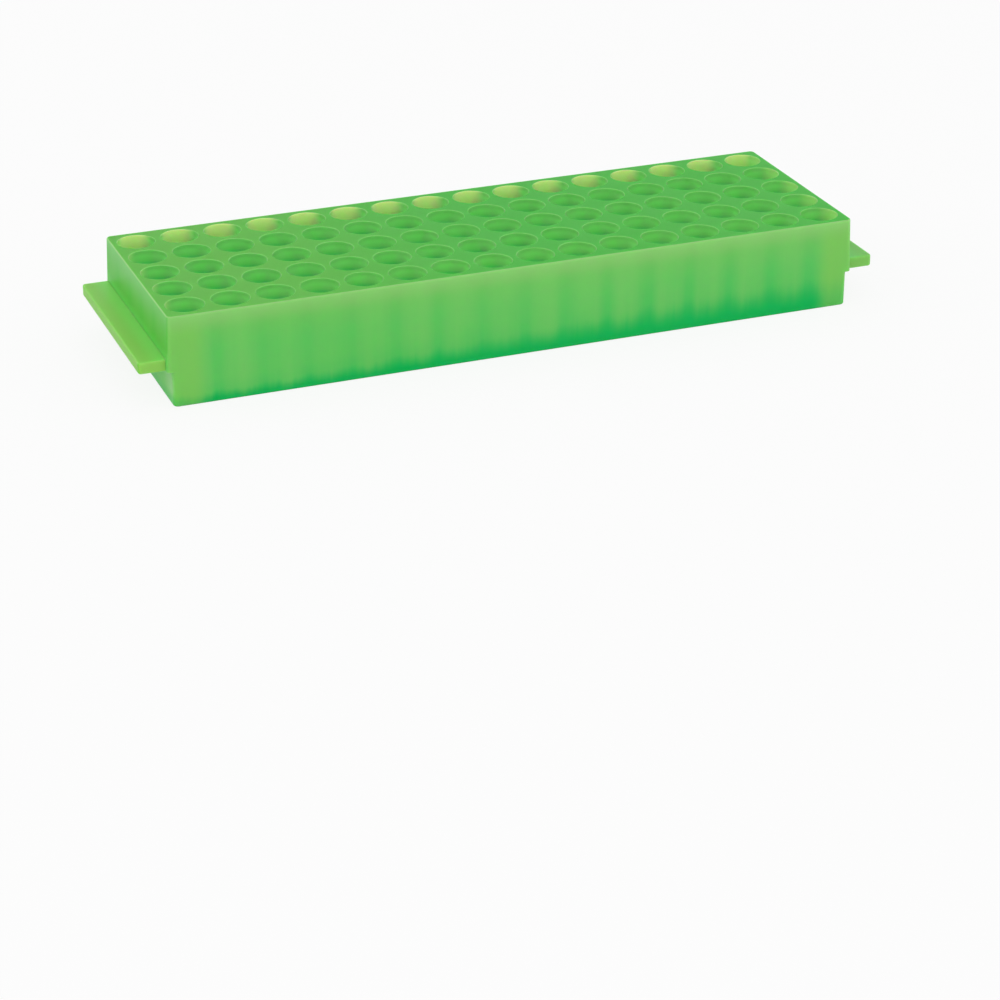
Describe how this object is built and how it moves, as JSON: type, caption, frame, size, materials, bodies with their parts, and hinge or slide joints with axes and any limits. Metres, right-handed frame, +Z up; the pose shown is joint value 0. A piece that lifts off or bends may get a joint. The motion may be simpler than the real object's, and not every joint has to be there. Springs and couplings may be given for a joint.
{
  "type": "microcentrifuge tube rack",
  "caption": "Low one-piece plastic rack with a flat deck full of round blind wells for small capped tubes, and a flat lifting tab on each end.",
  "frame": {"origin": "middle of the footprint, on the surface that the rack stands on", "axes": "+X along the sixteen columns of wells, +Y across the five rows, +Z up out of the wells"},
  "size_m": [0.226, 0.067, 0.027],
  "materials": {
    "green_polypropylene": "satin"
  },
  "bodies": {
    "root": {"tube_rack": "green_polypropylene"}
  },
  "joints": []
}
